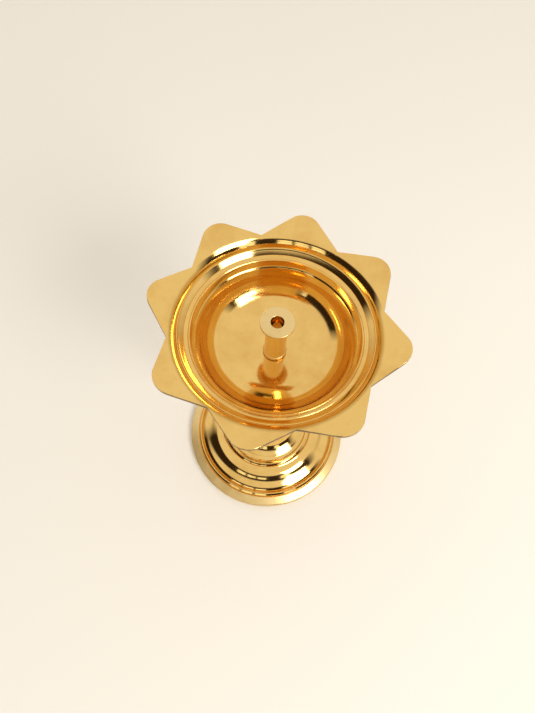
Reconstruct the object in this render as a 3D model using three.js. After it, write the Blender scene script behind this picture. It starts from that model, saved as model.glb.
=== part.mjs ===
// Lotus pedestal diya: a brass oil lamp whose eight-petalled cup stands on a domed foot.
// Millimetres, +Z up, origin at the centre of the foot's resting face, one petal tip on +X.
// The foot, cup and wick post are turned shapes; a threaded rod inside the neck holds the cup down.

import * as THREE from 'three';

// Whole lamp
const LIP_HEIGHT = 95.4; // from the table to the foot of the petals, inside
const WALL = 1.6; // casting thickness

// Petals
const PETAL_COUNT = 8;
const PETAL_TIP_RADIUS = 37.5;
const VALLEY_RADIUS = 30.9;
const PETAL_TIP_ROUNDING = 6; // radius of the rounded tip, seen from above
const PETAL_SLOPE = 0.3; // rise of a petal for each millimetre outwards
const BELL_RISE = 3; // extra height of the steep curve above the lip
const BELL_REACH = 1.3; // distance in which that curve flattens out
const PETAL_EDGE = 1.2; // thickness of the petal at its rim

// Cup
const LIP_RADIUS = 28.4;
const LIP_BEAD = 0.35;
const LEDGE_RADIUS = 25.1; // inner edge of the ledge
const LEDGE_FALL = 1.6;
const DISH_RADIUS = 23.3; // top of the dish's steep wall
const DISH_STEP = 1.6; // from the ledge's edge down to the dish
const DISH_DEPTH = 10.5;
const CORNER_ROUND = 11.2; // radius between the dish's floor and its wall
const WALL_LEAN = 20; // degrees by which the wall leans outwards at the top
const POST_HOLE_DEPTH = 4; // blind threaded hole in the cup's floor

// Boss under the cup and the neck that carries it
const BOSS_RADIUS = 10;
const BOSS_DEPTH = 11; // from the cup's floor to the seat on the neck
const STUD_HOLE_DEPTH = 5.5;
const SEAT_CLEARANCE = 0.05; // between faces that are screwed together

// Wick post
const HEAD_RADIUS = 5;
const HEAD_THICKNESS = 0.9;
const HEAD_HEIGHT = 99.7; // top face of the head, above the table
const STEM_RADIUS = 3.3;
const STEM_FOOT_RADIUS = 3.6;
const STEM_FOOT_HEIGHT = 1.4;
const WICK_HOLE_RADIUS = 1.9;
const WICK_HOLE_DEPTH = 8;
const POST_SPIGOT_RADIUS = 1.8;
const POST_SPIGOT_LENGTH = 3.2;
const POST_CLEARANCE = 0.3; // round and under the post

// Foot and neck
const FOOT_RADIUS = 33;
const FOOT_EDGE = 2.2; // height of the upright edge
const BAND_WIDTH = 3.4; // satin band inside the edge
const BAND_RISE = 1.2;
const SHOULDER_RADIUS = 17.6;
const SHOULDER_HEIGHT = 9.6;
const COVE_RADIUS = 14.4; // where the hollow sweep up to the neck starts
const GROOVE = 0.35; // depth of a turned groove
const NECK_RADIUS = 6;
const NECK_HEIGHT = 42; // height of the narrowest place
const KNOP_RADIUS = 9.4;
const KNOP_HEIGHT = 54;
const KNOP_HALF_LENGTH = 5;

// Rod, washer and nut
const STUD_RADIUS = 2;
const STUD_CLEARANCE = 0.3;
const STUD_END = 1.6; // rod left below the nut
const WASHER_RADIUS = 6;
const WASHER_THICKNESS = 1;
const NUT_ACROSS_FLATS = 7;
const NUT_HEIGHT = 3.2;
const NUT_SEAT_HEIGHT = 13.5; // flat under the neck, inside the hollow foot
const NUT_SEAT_RADIUS = 8;

// Facets
const CUP_COLUMNS = PETAL_COUNT * 12;
const FOOT_COLUMNS = 72;
const POST_COLUMNS = 36;
const STUD_COLUMNS = 24;

// Heights worked out from the sizes above
const LEDGE_HEIGHT = LIP_HEIGHT - LEDGE_FALL;
const DISH_HEIGHT = LEDGE_HEIGHT - DISH_STEP;
const FLOOR_HEIGHT = DISH_HEIGHT - DISH_DEPTH;
const SEAT_HEIGHT = FLOOR_HEIGHT - BOSS_DEPTH;
const STUD_BORE_RADIUS = STUD_RADIUS + STUD_CLEARANCE;

function brass(colour, roughness) {
  return new THREE.MeshStandardMaterial({ color: colour, roughness, metalness: 1 });
}

const castBrass = brass(0xc9a24e, 0.22);
const turnedBrass = brass(0xd2ad60, 0.32);
const plainBrass = brass(0xb08d45, 0.45);

// Points of an arc, end points included. Angles in degrees, in the (radius, height) plane.
function arc(centreR, centreZ, radius, from, to, steps) {
  const points = [];
  for (let i = 0; i <= steps; i += 1) {
    const angle = THREE.MathUtils.degToRad(from + ((to - from) * i) / steps);
    points.push([centreR + radius * Math.cos(angle), centreZ + radius * Math.sin(angle)]);
  }
  return points;
}

// Points of a smooth curve through a few hand-set points.
function sweep(points, steps) {
  const curve = new THREE.CatmullRomCurve3(
    points.map(([r, z]) => new THREE.Vector3(r, z, 0)),
    false,
    'centripetal',
  );
  return curve.getPoints(steps).map((p) => [p.x, p.y]);
}

// A turned solid. The profile runs from the axis up over the outside and back to the axis.
function turned(profile, columns) {
  const points = profile.map(([r, z]) => new THREE.Vector2(Math.max(r, 0), z));
  const geometry = new THREE.LatheGeometry(points, columns);
  geometry.rotateX(Math.PI / 2);
  return geometry;
}

function named(name, geometry, material) {
  const mesh = new THREE.Mesh(geometry, material);
  mesh.name = name;
  return mesh;
}

// Distance from the axis to the petal outline: a straight flank that meets a rounded tip.
const halfPetal = Math.PI / PETAL_COUNT;
const tipCentre = PETAL_TIP_RADIUS - PETAL_TIP_ROUNDING;
const valleyX = VALLEY_RADIUS * Math.cos(halfPetal);
const valleyY = VALLEY_RADIUS * Math.sin(halfPetal);
const toValley = Math.hypot(valleyX - tipCentre, valleyY);
const flankNormal = Math.atan2(valleyY, valleyX - tipCentre) - Math.acos(PETAL_TIP_ROUNDING / toValley);
const tangentAngle = Math.atan2(
  PETAL_TIP_ROUNDING * Math.sin(flankNormal),
  tipCentre + PETAL_TIP_ROUNDING * Math.cos(flankNormal),
);

function petalOutline(angle) {
  const turns = Math.round(angle / (2 * halfPetal));
  const phi = Math.abs(angle - turns * 2 * halfPetal);
  if (phi <= tangentAngle) {
    const across = tipCentre * Math.sin(phi);
    return tipCentre * Math.cos(phi) + Math.sqrt(PETAL_TIP_ROUNDING ** 2 - across ** 2);
  }
  const reach = valleyX * Math.cos(flankNormal) + valleyY * Math.sin(flankNormal);
  return reach / Math.cos(phi - flankNormal);
}

// Height of the petals' upper face: steep above the lip, then a straight slope to the tips.
const tipRun = PETAL_TIP_RADIUS - LIP_RADIUS;

function petalHeight(r) {
  const out = r - LIP_RADIUS;
  return LIP_HEIGHT + PETAL_SLOPE * out + BELL_RISE * (1 - Math.exp(-out / BELL_REACH));
}

// The cup: hole for the post, dish, ledge, lip, petals, outer wall, boss and hole for the rod.
function cupGeometry() {
  const holeRadius = POST_SPIGOT_RADIUS + POST_CLEARANCE;
  const lean = THREE.MathUtils.degToRad(WALL_LEAN);
  const wallTop = DISH_DEPTH - CORNER_ROUND * (1 - Math.sin(lean));
  const wallFoot = DISH_RADIUS - wallTop * Math.tan(lean);
  const cornerRadius = wallFoot - CORNER_ROUND * Math.cos(lean);
  const inside = [
    [0, FLOOR_HEIGHT - POST_HOLE_DEPTH],
    [holeRadius, FLOOR_HEIGHT - POST_HOLE_DEPTH],
    [holeRadius, FLOOR_HEIGHT],
    ...arc(cornerRadius, FLOOR_HEIGHT + CORNER_ROUND, CORNER_ROUND, -90, -WALL_LEAN, 8),
    [DISH_RADIUS, DISH_HEIGHT],
    [DISH_RADIUS + 0.3, DISH_HEIGHT + 0.35],
    [LEDGE_RADIUS - 0.35, LEDGE_HEIGHT - 0.1],
    [LEDGE_RADIUS, LEDGE_HEIGHT + 0.2],
    [LEDGE_RADIUS + 0.5, LEDGE_HEIGHT + 0.1],
    [LIP_RADIUS - 0.9, LIP_HEIGHT - 0.1],
    [LIP_RADIUS - 0.45, LIP_HEIGHT + LIP_BEAD],
    [LIP_RADIUS, LIP_HEIGHT],
  ];
  const shares = [0.08, 0.18, 0.32, 0.5, 0.72, 1];
  const top = shares.map((share) => [LIP_RADIUS + share * tipRun, 0]);
  const under = [...shares].reverse().map((share) => [LIP_RADIUS + share * tipRun, 0]);
  const outerWall = sweep(
    [
      [LIP_RADIUS + 0.3, LIP_HEIGHT - WALL],
      [LIP_RADIUS - 0.9, FLOOR_HEIGHT + 6],
      [LIP_RADIUS - 6, FLOOR_HEIGHT + 0.2],
      [BOSS_RADIUS + 5, FLOOR_HEIGHT - 3.2],
      [BOSS_RADIUS + 0.6, FLOOR_HEIGHT - 5],
    ],
    9,
  );
  const boss = [
    [BOSS_RADIUS, SEAT_HEIGHT + 0.5],
    [BOSS_RADIUS - 0.5, SEAT_HEIGHT],
    [STUD_BORE_RADIUS, SEAT_HEIGHT],
    [STUD_BORE_RADIUS, SEAT_HEIGHT + STUD_HOLE_DEPTH],
    [0, SEAT_HEIGHT + STUD_HOLE_DEPTH],
  ];
  const profile = [...inside, ...top, ...under, ...outerWall, ...boss];
  const geometry = turned([...profile].reverse(), CUP_COLUMNS);

  const rows = profile.length;
  const firstTop = inside.length;
  const firstUnder = firstTop + top.length;
  const firstOuter = firstUnder + under.length;
  const position = geometry.getAttribute('position');
  for (let i = 0; i < position.count; i += 1) {
    const row = rows - 1 - (i % rows);
    if (row >= firstTop && row < firstOuter) {
      const isUnder = row >= firstUnder;
      const share = isUnder ? shares[shares.length - 1 - (row - firstUnder)] : shares[row - firstTop];
      const angle = Math.atan2(position.getY(i), position.getX(i));
      const r = LIP_RADIUS + share * (petalOutline(angle) - LIP_RADIUS);
      const slope = (petalHeight(r + 0.05) - petalHeight(r - 0.05)) / 0.1;
      const drop = isUnder ? PETAL_EDGE * Math.min(Math.hypot(1, slope), 1.9) : 0;
      position.setXYZ(i, r * Math.cos(angle), r * Math.sin(angle), petalHeight(r) - drop);
    }
  }
  return geometry;
}

// The wick post: flat head with a blind hole, waisted stem, small foot and a threaded end.
function postGeometry() {
  const bottom = FLOOR_HEIGHT + POST_CLEARANCE;
  const holeBottom = HEAD_HEIGHT - WICK_HOLE_DEPTH;
  const profile = [
    [0, bottom - POST_SPIGOT_LENGTH],
    [POST_SPIGOT_RADIUS, bottom - POST_SPIGOT_LENGTH],
    [POST_SPIGOT_RADIUS, bottom],
    [STEM_FOOT_RADIUS - 0.2, bottom],
    [STEM_FOOT_RADIUS, bottom + 0.2],
    [STEM_FOOT_RADIUS, bottom + STEM_FOOT_HEIGHT - 0.3],
    [STEM_RADIUS, bottom + STEM_FOOT_HEIGHT],
    [STEM_RADIUS, HEAD_HEIGHT - HEAD_THICKNESS],
    [HEAD_RADIUS - 0.15, HEAD_HEIGHT - HEAD_THICKNESS],
    [HEAD_RADIUS, HEAD_HEIGHT - HEAD_THICKNESS + 0.15],
    [HEAD_RADIUS, HEAD_HEIGHT - 0.15],
    [HEAD_RADIUS - 0.15, HEAD_HEIGHT],
    [WICK_HOLE_RADIUS + 0.2, HEAD_HEIGHT],
    [WICK_HOLE_RADIUS, HEAD_HEIGHT - 0.2],
    [WICK_HOLE_RADIUS, holeBottom],
    [0, holeBottom],
  ];
  return turned(profile, POST_COLUMNS);
}

// The foot: hollow casting with an upright edge, a flat band, a dome, a stepped shoulder and the neck.
function footGeometry() {
  const bandInner = FOOT_RADIUS - BAND_WIDTH;
  const bandTop = FOOT_EDGE + BAND_RISE;
  const neckTop = SEAT_HEIGHT - SEAT_CLEARANCE;
  const dome = sweep(
    [
      [bandInner - 0.5, bandTop + 0.3],
      [bandInner - 4, bandTop + 2.9],
      [SHOULDER_RADIUS + 4.2, SHOULDER_HEIGHT - 1.2],
      [SHOULDER_RADIUS + 0.6, SHOULDER_HEIGHT],
    ],
    6,
  );
  const neck = sweep(
    [
      [COVE_RADIUS, SHOULDER_HEIGHT + 1.6],
      [COVE_RADIUS - 4, SHOULDER_HEIGHT + 5],
      [NECK_RADIUS + 1.6, SHOULDER_HEIGHT + 15],
      [NECK_RADIUS, NECK_HEIGHT],
      [NECK_RADIUS + 0.4, KNOP_HEIGHT - KNOP_HALF_LENGTH],
    ],
    9,
  );
  const knop = sweep(
    [
      [KNOP_RADIUS - 1.6, KNOP_HEIGHT - KNOP_HALF_LENGTH + 0.4],
      [KNOP_RADIUS, KNOP_HEIGHT],
      [KNOP_RADIUS - 1.6, KNOP_HEIGHT + KNOP_HALF_LENGTH - 0.4],
    ],
    6,
  );
  const outside = [
    [bandInner - 1, 0],
    [FOOT_RADIUS - 0.3, 0],
    [FOOT_RADIUS, 0.3],
    [FOOT_RADIUS, FOOT_EDGE - 0.5],
    [FOOT_RADIUS - 0.5, FOOT_EDGE],
    [bandInner, bandTop],
    [bandInner - 0.25, bandTop - GROOVE],
    ...dome,
    [SHOULDER_RADIUS + 0.3, SHOULDER_HEIGHT - GROOVE],
    [SHOULDER_RADIUS, SHOULDER_HEIGHT + 0.7],
    [COVE_RADIUS + 0.6, SHOULDER_HEIGHT + 1.3],
    ...neck,
    ...knop,
    [NECK_RADIUS + 0.8, KNOP_HEIGHT + KNOP_HALF_LENGTH],
    [NECK_RADIUS + 0.6, KNOP_HEIGHT + KNOP_HALF_LENGTH + 3],
    [BOSS_RADIUS - 1, neckTop - 1.4],
    [BOSS_RADIUS - 0.2, neckTop - 0.5],
    [BOSS_RADIUS - 0.6, neckTop],
    [STUD_BORE_RADIUS, neckTop],
    [STUD_BORE_RADIUS, NUT_SEAT_HEIGHT],
    [NUT_SEAT_RADIUS, NUT_SEAT_HEIGHT],
    [SHOULDER_RADIUS - 4, SHOULDER_HEIGHT - WALL - 0.4],
    [SHOULDER_RADIUS + 3, SHOULDER_HEIGHT - WALL - 1.6],
    [bandInner - 5, bandTop + 1.2],
    [bandInner - 1, FOOT_EDGE - 1],
    [bandInner - 1, 0],
  ];
  return turned(outside, FOOT_COLUMNS);
}

function studGeometry() {
  const top = SEAT_HEIGHT + STUD_HOLE_DEPTH - STUD_CLEARANCE;
  const bottom = NUT_SEAT_HEIGHT - WASHER_THICKNESS - NUT_HEIGHT - STUD_END;
  const profile = [
    [0, bottom],
    [STUD_RADIUS - 0.4, bottom],
    [STUD_RADIUS, bottom + 0.4],
    [STUD_RADIUS, top - 0.4],
    [STUD_RADIUS - 0.4, top],
    [0, top],
  ];
  return turned(profile, STUD_COLUMNS);
}

function washerGeometry() {
  const top = NUT_SEAT_HEIGHT - SEAT_CLEARANCE;
  const bottom = top - WASHER_THICKNESS;
  const bore = STUD_RADIUS + STUD_CLEARANCE;
  const profile = [
    [bore, bottom],
    [WASHER_RADIUS, bottom],
    [WASHER_RADIUS, top],
    [bore, top],
    [bore, bottom],
  ];
  return turned(profile, POST_COLUMNS);
}

function nutGeometry() {
  const top = NUT_SEAT_HEIGHT - WASHER_THICKNESS - 2 * SEAT_CLEARANCE;
  const corner = NUT_ACROSS_FLATS / 2 / Math.cos(Math.PI / 6);
  const outline = new THREE.Shape();
  for (let i = 0; i < 6; i += 1) {
    const angle = (i * Math.PI) / 3;
    const x = corner * Math.cos(angle);
    const y = corner * Math.sin(angle);
    if (i === 0) {
      outline.moveTo(x, y);
    } else {
      outline.lineTo(x, y);
    }
  }
  outline.closePath();
  const bore = new THREE.Path();
  bore.absarc(0, 0, STUD_RADIUS + STUD_CLEARANCE, 0, 2 * Math.PI, true);
  outline.holes.push(bore);
  const geometry = new THREE.ExtrudeGeometry(outline, { depth: NUT_HEIGHT, bevelEnabled: false });
  geometry.translate(0, 0, top - NUT_HEIGHT);
  return geometry;
}

const lamp = new THREE.Group();
lamp.add(
  named('pedestal_foot', footGeometry(), castBrass),
  named('lotus_bowl', cupGeometry(), castBrass),
  named('wick_post', postGeometry(), turnedBrass),
  named('tie_stud', studGeometry(), plainBrass),
  named('base_washer', washerGeometry(), plainBrass),
  named('base_nut', nutGeometry(), plainBrass),
);

export default lamp;
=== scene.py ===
import math

import bpy
from mathutils import Matrix, Vector


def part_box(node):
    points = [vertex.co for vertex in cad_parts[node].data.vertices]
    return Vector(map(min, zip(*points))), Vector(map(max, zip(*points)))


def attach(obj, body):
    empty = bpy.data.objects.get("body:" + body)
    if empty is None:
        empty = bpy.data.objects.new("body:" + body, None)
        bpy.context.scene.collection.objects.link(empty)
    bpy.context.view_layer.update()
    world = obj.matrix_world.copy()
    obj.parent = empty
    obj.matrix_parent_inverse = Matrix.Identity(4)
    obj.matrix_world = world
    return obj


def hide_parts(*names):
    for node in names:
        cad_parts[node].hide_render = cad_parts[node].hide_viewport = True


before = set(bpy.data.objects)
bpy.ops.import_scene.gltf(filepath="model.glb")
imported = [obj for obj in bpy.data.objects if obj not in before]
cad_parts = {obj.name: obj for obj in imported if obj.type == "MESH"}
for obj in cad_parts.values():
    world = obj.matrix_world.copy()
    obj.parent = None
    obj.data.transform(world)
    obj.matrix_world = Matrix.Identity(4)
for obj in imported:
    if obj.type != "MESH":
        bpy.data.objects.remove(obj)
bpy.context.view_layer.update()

# Camera
# A phone held close above the lamp: it looks steeply down, past the petals onto the foot.
camera_place = Vector((0.01042, -0.07151, 0.22944))
looks_along = Vector((-0.07361, 0.42177, -0.90371)).normalized()
picture_up = Vector((-0.23168, 0.87414, 0.42684)).normalized()
focal_pixels = 535.0
long_side_pixels = 713.0
sensor_width = 36.0

camera_data = bpy.data.cameras.new("camera")
camera_data.sensor_width = sensor_width
camera_data.lens = focal_pixels * sensor_width / long_side_pixels
camera_data.clip_start = 0.005
camera = bpy.data.objects.new("camera", camera_data)
bpy.context.scene.collection.objects.link(camera)
picture_right = looks_along.cross(picture_up).normalized()
picture_up = picture_right.cross(looks_along)
turn = Matrix((picture_right, picture_up, -looks_along)).transposed().to_4x4()
camera.matrix_world = Matrix.Translation(camera_place) @ turn
bpy.context.scene.camera = camera
bpy.context.scene.view_settings.view_transform = "Standard"

# Foot and neck
# One hollow brass casting, turned on a lathe all over its outside: an upright edge, a satin
# band, a polished dome with a double groove, a stepped shoulder and a waisted neck.
mm = 0.001
foot_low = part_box("pedestal_foot")[0]
foot_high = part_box("pedestal_foot")[1]
foot_radius = foot_high.x
foot_edge = 2.2 * mm
band_width = 3.4 * mm
band_top = 3.4 * mm
shoulder_radius = 17.6 * mm
shoulder_height = 9.6 * mm
cove_radius = 14.4 * mm
neck_radius = 6.0 * mm
neck_waist = 42.0 * mm
knop_radius = 9.4 * mm
knop_height = 54.0 * mm
knop_half = 5.0 * mm
neck_top = foot_high.z
neck_top_radius = 9.4 * mm
stud_bore = 2.3 * mm
nut_seat = 13.5 * mm
nut_seat_radius = 8.0 * mm
groove = 0.25 * mm
foot_turns = 192


def flow(points, steps):
    """Points of a smooth line through a few given ones, as (radius, height)."""
    ends = [points[0], *points, points[-1]]
    line = []
    for k in range(len(points) - 1):
        before, a, b, after = ends[k:k + 4]
        for i in range(steps):
            t = i / steps
            line.append(tuple(
                0.5 * (2 * a[j] + (b[j] - before[j]) * t
                       + (2 * before[j] - 5 * a[j] + 4 * b[j] - after[j]) * t ** 2
                       + (3 * a[j] - before[j] - 3 * b[j] + after[j]) * t ** 3)
                for j in (0, 1)
            ))
    line.append(points[-1])
    return line


def bow(centre_r, centre_z, radius, start, end, steps):
    """Points of an arc, with its angles in degrees."""
    angles = [math.radians(start + (end - start) * i / steps) for i in range(steps + 1)]
    return [(centre_r + radius * math.cos(a), centre_z + radius * math.sin(a)) for a in angles]


def ridge(r, z, width, height):
    """A small turned ridge, or with a height below nothing a groove, centred on a point of the profile."""
    return [
        (r + width * t, z + height * (0.5 + 0.5 * math.cos(math.pi * 2 * t)))
        for t in (-0.5, -0.3, -0.15, 0.0, 0.15, 0.3, 0.5)
    ]


def spun(name, profile, turns):
    """A vertex is drawn out along the profile and the line is spun round the axis."""
    bpy.ops.object.select_all(action="DESELECT")
    bpy.ops.mesh.primitive_plane_add(size=mm)
    piece = bpy.context.object
    piece.name = name
    bpy.ops.object.mode_set(mode="EDIT")
    bpy.ops.mesh.select_all(action="SELECT")
    bpy.ops.mesh.merge(type="CENTER")
    bpy.ops.transform.translate(value=(profile[0][0], 0.0, profile[0][1]))
    for here, there in zip(profile, profile[1:]):
        step = (there[0] - here[0], 0.0, there[1] - here[1])
        bpy.ops.mesh.extrude_region_move(TRANSFORM_OT_translate={"value": step})
    bpy.ops.mesh.select_all(action="SELECT")
    bpy.ops.mesh.spin(steps=turns, angle=2 * math.pi, center=(0, 0, 0), axis=(0, 0, 1))
    bpy.ops.mesh.select_all(action="SELECT")
    bpy.ops.mesh.remove_doubles(threshold=0.002 * mm)
    bpy.ops.mesh.normals_make_consistent(inside=False)
    bpy.ops.object.mode_set(mode="OBJECT")
    bpy.ops.object.shade_smooth_by_angle(angle=math.radians(28.0))
    return piece


band_inner = foot_radius - band_width
dome = flow([
    (band_inner - 0.35 * mm, band_top + 0.15 * mm),
    (band_inner - 2.4 * mm, band_top + 1.75 * mm),
    (band_inner - 5.4 * mm, band_top + 3.3 * mm),
    (shoulder_radius + 4.2 * mm, shoulder_height - 1.2 * mm),
    (shoulder_radius + 1.5 * mm, shoulder_height - 0.2 * mm),
], 8)
dome_grooves = [
    point
    for r, z in (dome[5], dome[7])
    for point in ridge(r, z, -0.5 * mm, -groove)
]
dome = dome[:4] + dome_grooves + dome[10:]
foot_profile = [
    (band_inner - 1.0 * mm, 0.0),
    *bow(foot_radius - 0.4 * mm, 0.4 * mm, 0.4 * mm, -90, 0, 5),
    *bow(foot_radius - 0.7 * mm, foot_edge - 0.7 * mm, 0.7 * mm, 0, 70, 6),
    (band_inner + 0.3 * mm, band_top),
    (band_inner, band_top - 0.1 * mm),
    (band_inner - 0.15 * mm, band_top - groove),
    *dome,
    *ridge(shoulder_radius + 0.9 * mm, shoulder_height, -0.5 * mm, -groove),
    *bow(shoulder_radius - 0.3 * mm, shoulder_height + 0.4 * mm, 0.4 * mm, 0, 90, 5),
    *ridge(shoulder_radius - 1.1 * mm, shoulder_height + 0.9 * mm, -0.5 * mm, -groove),
    (cove_radius + 0.8 * mm, shoulder_height + 1.1 * mm),
    *flow([
        (cove_radius + 0.3 * mm, shoulder_height + 1.4 * mm),
        (cove_radius - 4.0 * mm, shoulder_height + 5.0 * mm),
        (neck_radius + 1.6 * mm, shoulder_height + 15.0 * mm),
        (neck_radius, neck_waist),
        (neck_radius + 0.4 * mm, knop_height - knop_half),
    ], 8),
    *bow(knop_radius - 1.3 * mm, knop_height - knop_half + 1.2 * mm, 0.5 * mm, -90, 0, 4),
    *bow(knop_radius - 4.0 * mm, knop_height, 4.0 * mm, -55, 55, 14),
    *bow(knop_radius - 1.3 * mm, knop_height + knop_half - 1.2 * mm, 0.5 * mm, 0, 90, 4),
    *flow([
        (neck_radius + 0.8 * mm, knop_height + knop_half),
        (neck_radius + 0.5 * mm, knop_height + knop_half + 3.0 * mm),
        (neck_top_radius - 0.6 * mm, neck_top - 1.4 * mm),
    ], 8),
    *bow(neck_top_radius - 0.1 * mm, neck_top - 0.5 * mm, 0.4 * mm, -60, 90, 7),
    (stud_bore, neck_top),
    (stud_bore, nut_seat),
    (nut_seat_radius, nut_seat),
    *flow([
        (nut_seat_radius + 0.4 * mm, nut_seat - 1.6 * mm),
        (shoulder_radius - 4.0 * mm, shoulder_height - 2.0 * mm),
        (shoulder_radius + 3.0 * mm, shoulder_height - 3.2 * mm),
        (band_inner - 5.0 * mm, band_top + 1.2 * mm),
        (band_inner - 1.0 * mm, foot_edge - 1.0 * mm),
    ], 6),
    (band_inner - 1.0 * mm, 0.0),
]


# The lamp is one alloy. Three finishes of it: polished, satin where a tool left its lines, and
# dark where it was left as it came from the mould; the dark one is also painted shade on the petals' cut
# edges.
def brass(name, colour, deep, roughness, line_depth, line_scale, wear):
    material = bpy.data.materials.new(name)
    material.use_nodes = True
    nodes = material.node_tree.nodes
    links = material.node_tree.links
    shader = nodes["Principled BSDF"]
    shader.inputs["Metallic"].default_value = 1.0
    place = nodes.new("ShaderNodeTexCoord")

    cloud = nodes.new("ShaderNodeTexNoise")
    cloud.inputs["Scale"].default_value = 85.0
    cloud.inputs["Detail"].default_value = 6.0
    cloud.inputs["Roughness"].default_value = 0.65
    links.new(place.outputs["Object"], cloud.inputs["Vector"])
    tone = nodes.new("ShaderNodeValToRGB")
    tone.color_ramp.elements[0].position = 0.30
    tone.color_ramp.elements[0].color = (*deep, 1.0)
    tone.color_ramp.elements[1].position = 0.58
    tone.color_ramp.elements[1].color = (*colour, 1.0)
    links.new(cloud.outputs["Fac"], tone.inputs["Fac"])

    speck = nodes.new("ShaderNodeTexVoronoi")
    speck.inputs["Scale"].default_value = 420.0
    links.new(place.outputs["Object"], speck.inputs["Vector"])
    pit = nodes.new("ShaderNodeMapRange")
    pit.inputs["From Min"].default_value = 0.05
    pit.inputs["From Max"].default_value = 0.13
    pit.inputs["To Min"].default_value = 0.45
    pit.inputs["To Max"].default_value = 1.0
    links.new(speck.outputs["Distance"], pit.inputs["Value"])
    stain = nodes.new("ShaderNodeMix")
    stain.data_type = "RGBA"
    stain.blend_type = "MULTIPLY"
    stain.inputs["Factor"].default_value = wear
    links.new(tone.outputs["Color"], stain.inputs[6])
    links.new(pit.outputs["Result"], stain.inputs[7])
    links.new(stain.outputs[2], shader.inputs["Base Color"])

    rough = nodes.new("ShaderNodeMapRange")
    rough.inputs["From Min"].default_value = 0.3
    rough.inputs["From Max"].default_value = 0.7
    rough.inputs["To Min"].default_value = roughness * 1.4
    rough.inputs["To Max"].default_value = roughness * 0.8
    links.new(cloud.outputs["Fac"], rough.inputs["Value"])
    links.new(rough.outputs["Result"], shader.inputs["Roughness"])

    split = nodes.new("ShaderNodeSeparateXYZ")
    links.new(place.outputs["Object"], split.inputs["Vector"])
    flat = nodes.new("ShaderNodeCombineXYZ")
    links.new(split.outputs["X"], flat.inputs["X"])
    links.new(split.outputs["Y"], flat.inputs["Y"])
    radius = nodes.new("ShaderNodeVectorMath")
    radius.operation = "LENGTH"
    links.new(flat.outputs["Vector"], radius.inputs[0])
    ring = nodes.new("ShaderNodeCombineXYZ")
    links.new(radius.outputs["Value"], ring.inputs["X"])
    links.new(split.outputs["Z"], ring.inputs["Y"])
    lines = nodes.new("ShaderNodeTexNoise")
    lines.inputs["Scale"].default_value = line_scale
    lines.inputs["Detail"].default_value = 3.0
    links.new(ring.outputs["Vector"], lines.inputs["Vector"])
    bump = nodes.new("ShaderNodeBump")
    bump.inputs["Strength"].default_value = line_depth
    bump.inputs["Distance"].default_value = 0.05 * mm
    links.new(lines.outputs["Fac"], bump.inputs["Height"])
    grain = nodes.new("ShaderNodeTexNoise")
    grain.inputs["Scale"].default_value = 160.0
    grain.inputs["Detail"].default_value = 2.0
    links.new(place.outputs["Object"], grain.inputs["Vector"])
    wave = nodes.new("ShaderNodeBump")
    wave.inputs["Strength"].default_value = 0.12
    wave.inputs["Distance"].default_value = 0.2 * mm
    links.new(grain.outputs["Fac"], wave.inputs["Height"])
    links.new(bump.outputs["Normal"], wave.inputs["Normal"])
    links.new(wave.outputs["Normal"], shader.inputs["Normal"])
    return material


gold = (0.84, 0.56, 0.19)
deep_gold = (0.74, 0.45, 0.13)
polished = brass("polished_brass", gold, deep_gold, 0.09, 0.10, 2400.0, 0.10)
satin = brass("satin_brass", (0.82, 0.61, 0.28), (0.70, 0.48, 0.19), 0.30, 0.45, 3400.0, 0.15)
# The dark finish is the as-cast underside of the foot, and painted shade on the petals' cut edges.
dark = brass("cast_and_shade_dark_brass", (0.26, 0.17, 0.07), (0.12, 0.08, 0.04), 0.42, 0.30, 1600.0, 0.40)
plain = brass("plain_brass", (0.62, 0.44, 0.19), (0.42, 0.28, 0.12), 0.40, 0.40, 1800.0, 0.30)


def finish(piece, *materials):
    """Gives a piece its finishes, one for each slot."""
    piece.data.materials.clear()
    for material in materials:
        piece.data.materials.append(material)


def finish_where(piece, slot, wanted):
    """Gives the faces for which wanted(radius, height, normal) holds another of the piece's finishes."""
    for face in piece.data.polygons:
        if wanted(math.hypot(face.center.x, face.center.y), face.center.z, face.normal):
            face.material_index = slot


foot = spun("foot", foot_profile, foot_turns)
finish(foot, polished, satin, dark)
finish_where(foot, 1, lambda r, z, n: r > band_inner and n.z > -0.5)
finish_where(foot, 2, lambda r, z, n: n.z < -0.2 and z < nut_seat + mm and r < foot_radius - mm)
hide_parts("pedestal_foot")
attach(foot, "lamp")

# Cup and petals
# The cup is cast with its flange, turned inside, and the flange is cut into eight petals and
# raised. The inside is a round dish under a narrow ledge; the petals are polished, and their cut edges are
# painted dark as shade.
bowl_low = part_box("lotus_bowl")[0]
bowl_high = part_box("lotus_bowl")[1]
tip_radius = bowl_high.x
tip_top = bowl_high.z
seat = bowl_low.z
petal_count = 8
valley_radius = 30.9 * mm
tip_rounding = 6.0 * mm
petal_slope = 0.3
bell_rise = 3.0 * mm
bell_reach = 1.3 * mm
petal_edge = 1.2 * mm
lip_radius = 28.4 * mm
tip_run = tip_radius - lip_radius
lip_height = tip_top - petal_slope * tip_run - bell_rise * (1 - math.exp(-tip_run / bell_reach))
ledge_radius = 25.1 * mm
ledge_height = lip_height - 1.6 * mm
dish_radius = 23.3 * mm
dish_height = ledge_height - 1.6 * mm
dish_depth = 10.5 * mm
corner_round = 11.2 * mm
wall_lean = 20.0
cup_floor = dish_height - dish_depth
post_hole_radius = 2.1 * mm
post_hole_depth = 4.0 * mm
boss_radius = 10.0 * mm
stud_hole_depth = 5.5 * mm
cup_wall = 1.6 * mm
cup_turns = 288

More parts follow.
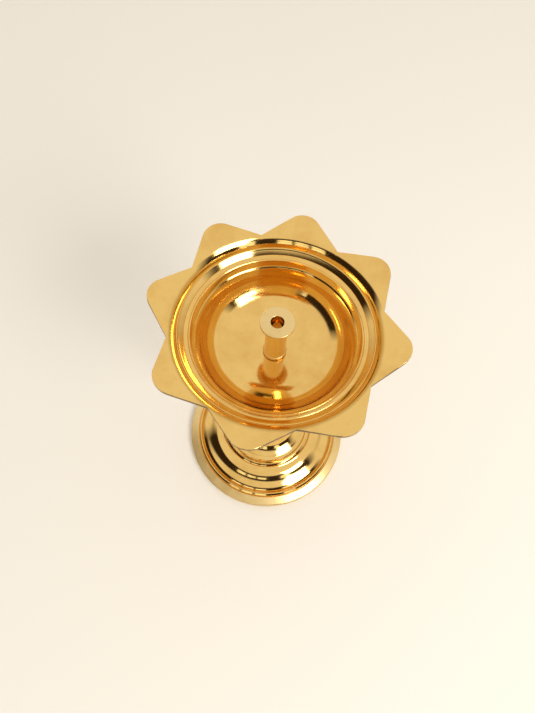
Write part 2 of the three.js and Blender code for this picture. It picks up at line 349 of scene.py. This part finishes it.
half_petal = math.pi / petal_count
tip_centre = tip_radius - tip_rounding
valley_x = valley_radius * math.cos(half_petal)
valley_y = valley_radius * math.sin(half_petal)
to_valley = math.hypot(valley_x - tip_centre, valley_y)
flank_normal = math.atan2(valley_y, valley_x - tip_centre) - math.acos(tip_rounding / to_valley)
flank_reach = valley_x * math.cos(flank_normal) + valley_y * math.sin(flank_normal)
flank_end = math.atan2(
    tip_rounding * math.sin(flank_normal),
    tip_centre + tip_rounding * math.cos(flank_normal),
)


def petal_outline(angle):
    """Distance from the axis to the petals' outline: straight flanks and rounded tips."""
    phi = abs(angle - round(angle / (2 * half_petal)) * 2 * half_petal)
    if phi <= flank_end:
        across = tip_centre * math.sin(phi)
        return tip_centre * math.cos(phi) + math.sqrt(tip_rounding ** 2 - across ** 2)
    return flank_reach / math.cos(phi - flank_normal)


def petal_height(r):
    """Height of the petals' upper face: steep above the lip, then a straight slope."""
    out = r - lip_radius
    return lip_height + petal_slope * out + bell_rise * (1 - math.exp(-out / bell_reach))


lean = math.radians(wall_lean)
wall_foot = dish_radius - (dish_depth - corner_round * (1 - math.sin(lean))) * math.tan(lean)
corner_radius = wall_foot - corner_round * math.cos(lean)
flange_rows = 22
flange_shares = [(i / flange_rows) ** 1.5 for i in range(1, flange_rows + 1)]
edge_round = 0.25 * mm
flange_top = [(lip_radius + share * (tip_run - edge_round), lip_height) for share in flange_shares]
flange_under = [(r, lip_height - petal_edge) for r, z in reversed(flange_top)]
cup_profile = [
    (0.0, cup_floor - post_hole_depth),
    (post_hole_radius, cup_floor - post_hole_depth),
    (post_hole_radius, cup_floor),
    *bow(corner_radius, cup_floor + corner_round, corner_round, -90, -wall_lean, 44),
    (dish_radius - 0.15 * mm, dish_height - 0.3 * mm),
    *ridge(dish_radius + 0.35 * mm, dish_height, 0.5 * mm, 0.25 * mm),
    (ledge_radius - 0.45 * mm, ledge_height - 0.35 * mm),
    *ridge(ledge_radius, ledge_height, 0.6 * mm, 0.22 * mm),
    *ridge(lip_radius - 2.0 * mm, ledge_height + 0.5 * mm, 0.4 * mm, 0.10 * mm),
    *ridge(lip_radius - 0.5 * mm, lip_height - 0.05 * mm, 0.6 * mm, 0.3 * mm),
    (lip_radius, lip_height),
    *flange_top,
    *bow(tip_radius - edge_round, lip_height - edge_round, edge_round, 70, 0, 3),
    *bow(tip_radius - edge_round, lip_height - petal_edge + edge_round, edge_round, 0, -70, 3),
    *flange_under,
    *flow([
        (lip_radius + 0.3 * mm, lip_height - cup_wall),
        (lip_radius - 0.9 * mm, cup_floor + 6.0 * mm),
        (lip_radius - 6.0 * mm, cup_floor + 0.2 * mm),
        (boss_radius + 5.0 * mm, cup_floor - 3.2 * mm),
        (boss_radius + 0.6 * mm, cup_floor - 5.0 * mm),
    ], 10),
    (boss_radius, cup_floor - 5.6 * mm),
    *bow(boss_radius - 0.5 * mm, seat + 0.5 * mm, 0.5 * mm, 0, -90, 5),
    (stud_bore, seat),
    (stud_bore, seat + stud_hole_depth),
    (0.0, seat + stud_hole_depth),
]
cup = spun("cup", cup_profile, cup_turns)
for point in cup.data.vertices:
    spun_radius = math.hypot(point.co.x, point.co.y)
    depth = (lip_height - point.co.z) / petal_edge
    if spun_radius > lip_radius + 0.002 * mm and -0.01 < depth < 1.01:
        angle = math.atan2(point.co.y, point.co.x)
        share = (spun_radius - lip_radius) / tip_run
        r = lip_radius + share * (petal_outline(angle) - lip_radius)
        slope = (petal_height(r + 0.05 * mm) - petal_height(r - 0.05 * mm)) / (0.1 * mm)
        thick = petal_edge * min(math.hypot(1.0, slope), 1.9)
        point.co = (r * math.cos(angle), r * math.sin(angle), petal_height(r) - depth * thick)
cup.data.update()
bpy.ops.object.shade_smooth_by_angle(angle=math.radians(28.0))
finish(cup, polished, satin, dark)


# The petals' cut edges get the dark finish as painted shade: the plate's thin edge is drawn as a dark
# line, as if it lies in shadow.
def painted_shade_on_petal_edge(r, z, n):
    return r > lip_radius + mm and abs(n.z) < 0.55 and z > lip_height - mm


finish_where(cup, 2, painted_shade_on_petal_edge)
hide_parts("lotus_bowl")
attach(cup, "lamp")

# Wick post
# Turned from bar and screwed into the cup's floor: a flat head left matt from the tool, with a
# blind hole for the wick, a round stem and a small foot.
post_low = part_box("wick_post")[0]
post_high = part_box("wick_post")[1]
head_radius = post_high.x
head_height = post_high.z
head_thick = 0.9 * mm
stem_radius = 3.3 * mm
post_foot_radius = 3.6 * mm
post_foot_height = 1.4 * mm
wick_hole_radius = 1.9 * mm
wick_hole_depth = 8.0 * mm
spigot_radius = 1.8 * mm
spigot_length = 3.2 * mm
post_bottom = post_low.z + spigot_length
post_turns = 128

post_profile = [
    (0.0, post_low.z),
    (spigot_radius, post_low.z),
    (spigot_radius, post_bottom),
    *bow(post_foot_radius - 0.25 * mm, post_bottom + 0.25 * mm, 0.25 * mm, -90, 0, 4),
    *bow(post_foot_radius - 0.35 * mm, post_bottom + post_foot_height - 0.6 * mm, 0.35 * mm, 0, 80, 5),
    *flow([
        (stem_radius + 0.1 * mm, post_bottom + post_foot_height),
        (stem_radius - 0.05 * mm, post_bottom + 5.0 * mm),
        (stem_radius, head_height - 3.0 * mm),
        (stem_radius + 0.15 * mm, head_height - head_thick - 0.5 * mm),
    ], 6),
    *bow(stem_radius + 0.65 * mm, head_height - head_thick - 0.5 * mm, 0.5 * mm, 180, 90, 5),
    *bow(head_radius - 0.2 * mm, head_height - head_thick + 0.2 * mm, 0.2 * mm, -90, 0, 4),
    *bow(head_radius - 0.12 * mm, head_height - 0.12 * mm, 0.12 * mm, 0, 90, 4),
    *bow(wick_hole_radius + 0.2 * mm, head_height - 0.2 * mm, 0.2 * mm, 90, 180, 4),
    (wick_hole_radius, head_height - wick_hole_depth + 0.6 * mm),
    (wick_hole_radius - 0.5 * mm, head_height - wick_hole_depth),
    (0.0, head_height - wick_hole_depth),
]
post = spun("post", post_profile, post_turns)
finish(post, polished, satin, dark)
finish_where(post, 1, lambda r, z, n: n.z > 0.8)
finish_where(post, 1, lambda r, z, n: z > head_height - head_thick and r > wick_hole_radius)
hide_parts("wick_post")
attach(post, "post")

# Rod, washer and nut
# Plain turned hardware inside the neck and the hollow foot. Only the nut's side shows, from below.
for hardware in ("tie_stud", "base_washer", "base_nut"):
    finish(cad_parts[hardware], plain)

# Room
# A pale floor under soft light: a bright ceiling, a key light from the right that throws the
# shadow to the upper left, and a darker wall with tall windows behind the camera.
bpy.ops.object.select_all(action="DESELECT")
bpy.ops.mesh.primitive_plane_add(size=6.0, location=(0.0, 0.0, 0.0))
floor = bpy.context.object
floor.name = "floor"
floor_material = bpy.data.materials.new("pale_floor")
floor_material.use_nodes = True
floor_shader = floor_material.node_tree.nodes["Principled BSDF"]
floor_shader.inputs["Base Color"].default_value = (0.86, 0.82, 0.76, 1.0)
floor_shader.inputs["Roughness"].default_value = 0.7
floor.data.materials.append(floor_material)


def area_light(name, place, target, wide, high, power, colour):
    data = bpy.data.lights.new(name, "AREA")
    data.shape = "RECTANGLE"
    data.size = wide
    data.size_y = high
    data.energy = power
    data.color = colour
    light = bpy.data.objects.new(name, data)
    bpy.context.scene.collection.objects.link(light)
    aim = Vector(target) - Vector(place)
    light.matrix_world = Matrix.Translation(place) @ aim.to_track_quat("-Z", "Y").to_matrix().to_4x4()
    return light


area_light("key", (0.62, -0.40, 0.60), (0.0, 0.0, 0.06), 0.42, 0.42, 5.0, (1.0, 0.97, 0.92))

world = bpy.data.worlds.new("room")
world.use_nodes = True
world_nodes = world.node_tree.nodes
world_links = world.node_tree.links
backdrop = world_nodes["Background"]
backdrop.inputs["Strength"].default_value = 0.95
direction = world_nodes.new("ShaderNodeTexCoord")
parts = world_nodes.new("ShaderNodeSeparateXYZ")
world_links.new(direction.outputs["Generated"], parts.inputs["Vector"])
def number(operation, *values, clamp=False):
    """A Math node of the room; values are numbers or sockets."""
    node = world_nodes.new("ShaderNodeMath")
    node.operation = operation
    node.use_clamp = clamp
    for socket, value in zip(node.inputs, values):
        if isinstance(value, bpy.types.NodeSocket):
            world_links.new(value, socket)
        else:
            socket.default_value = value
    return node.outputs[0]


def within(value, low, high, soft):
    """1 where value lies between low and high, falling to 0 over soft outside them."""
    below = number("DIVIDE", number("SUBTRACT", value, low - soft), soft, clamp=True)
    above = number("DIVIDE", number("SUBTRACT", high + soft, value), soft, clamp=True)
    return number("MULTIPLY", below, above)


def blended(share, first, second):
    node = world_nodes.new("ShaderNodeMix")
    node.data_type = "RGBA"
    for socket, value in ((node.inputs[0], share), (node.inputs[6], first), (node.inputs[7], second)):
        if isinstance(value, bpy.types.NodeSocket):
            world_links.new(value, socket)
        else:
            socket.default_value = value
    return node.outputs[2]


# Bearings are measured from the wall behind the camera, in radians, to the right of the lamp.
bearing = number("ARCTAN2", parts.outputs["X"], number("MULTIPLY", parts.outputs["Y"], -1.0))
elevation = number("ARCSINE", parts.outputs["Z"])
ceiling = (1.0, 0.95, 0.86, 1.0)
pale_wall = (0.62, 0.55, 0.44, 1.0)
dark_wall = (0.035, 0.022, 0.014, 1.0)
daylight = (1.6, 1.6, 1.5, 1.0)
shade = blended(within(elevation, 0.35, 2.0, 0.30), pale_wall, ceiling)
behind = number("MULTIPLY", within(bearing, -1.45, 1.35, 0.25), within(elevation, -0.5, 0.60, 0.10))
shade = blended(behind, shade, dark_wall)
for left, right in ((-0.46, -0.26), (-0.20, 0.00), (0.06, 0.26), (0.62, 0.84)):
    pane = number("MULTIPLY", within(bearing, left, right, 0.01), within(elevation, 0.10, 0.30, 0.01))
    upper = number("MULTIPLY", within(bearing, left, right, 0.01), within(elevation, 0.33, 0.48, 0.01))
    shade = blended(number("MAXIMUM", pane, upper), shade, daylight)
world_links.new(shade, backdrop.inputs["Color"])
bpy.context.scene.world = world
